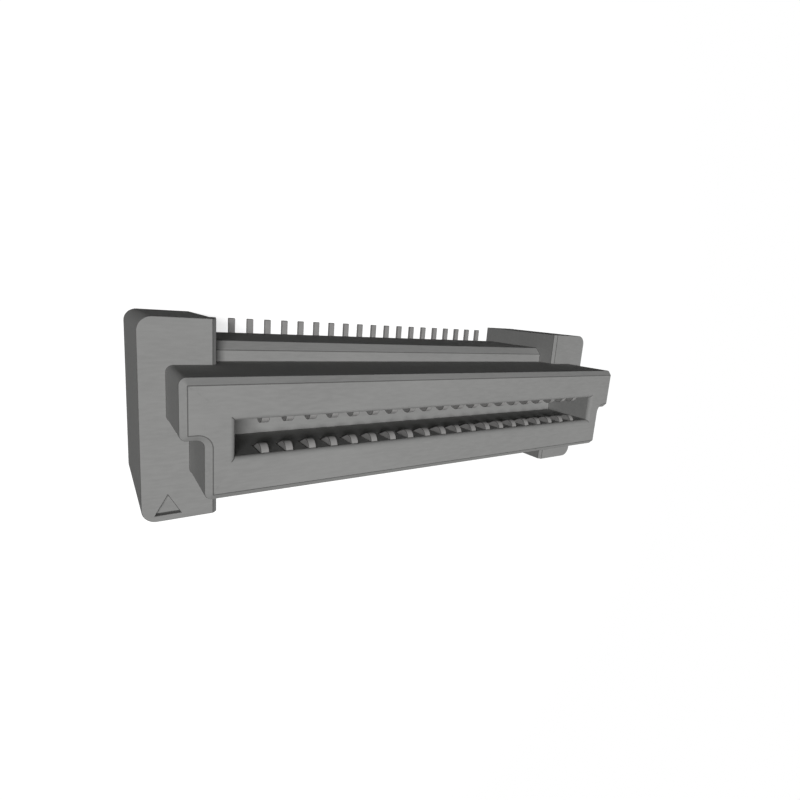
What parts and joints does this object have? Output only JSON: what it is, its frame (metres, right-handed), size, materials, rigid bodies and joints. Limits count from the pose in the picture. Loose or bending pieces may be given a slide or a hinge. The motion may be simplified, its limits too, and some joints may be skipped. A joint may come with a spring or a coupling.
{
  "type": "board-to-board socket connector",
  "caption": "Straight surface-mount board-to-board socket with a stepped mating shell, one long contact slot and two rows of spring contacts.",
  "frame": {"origin": "middle of the footprint on the solder plane, where the feet of the end blocks and the solder feet meet the board", "axes": "+Z is the mating direction away from the board, +X runs along the contact rows away from the pin 1 end, and the pin 1 row is on the -Y side"},
  "size_m": [0.0346, 0.0108, 0.0124],
  "materials": {
    "moulded_housing": "fine matt moulded surface, mid grey",
    "plated_contact": "matt tin plating over copper alloy"
  },
  "bodies": {
    "root": {"housing": "moulded_housing", "row_a_contact_01": "plated_contact", "row_a_contact_02": "plated_contact", "row_a_contact_03": "plated_contact", "row_a_contact_04": "plated_contact", "row_a_contact_05": "plated_contact", "row_a_contact_06": "plated_contact", "row_a_contact_07": "plated_contact", "row_a_contact_08": "plated_contact", "row_a_contact_09": "plated_contact", "row_a_contact_10": "plated_contact", "row_a_contact_11": "plated_contact", "row_a_contact_12": "plated_contact", "row_a_contact_13": "plated_contact", "row_a_contact_14": "plated_contact", "row_a_contact_15": "plated_contact", "row_a_contact_16": "plated_contact", "row_a_contact_17": "plated_contact", "row_a_contact_18": "plated_contact", "row_a_contact_19": "plated_contact", "row_a_contact_20": "plated_contact", "row_b_contact_01": "plated_contact", "row_b_contact_02": "plated_contact", "row_b_contact_03": "plated_contact", "row_b_contact_04": "plated_contact", "row_b_contact_05": "plated_contact", "row_b_contact_06": "plated_contact", "row_b_contact_07": "plated_contact", "row_b_contact_08": "plated_contact", "row_b_contact_09": "plated_contact", "row_b_contact_10": "plated_contact", "row_b_contact_11": "plated_contact", "row_b_contact_12": "plated_contact", "row_b_contact_13": "plated_contact", "row_b_contact_14": "plated_contact", "row_b_contact_15": "plated_contact", "row_b_contact_16": "plated_contact", "row_b_contact_17": "plated_contact", "row_b_contact_18": "plated_contact", "row_b_contact_19": "plated_contact", "row_b_contact_20": "plated_contact"}
  },
  "joints": []
}
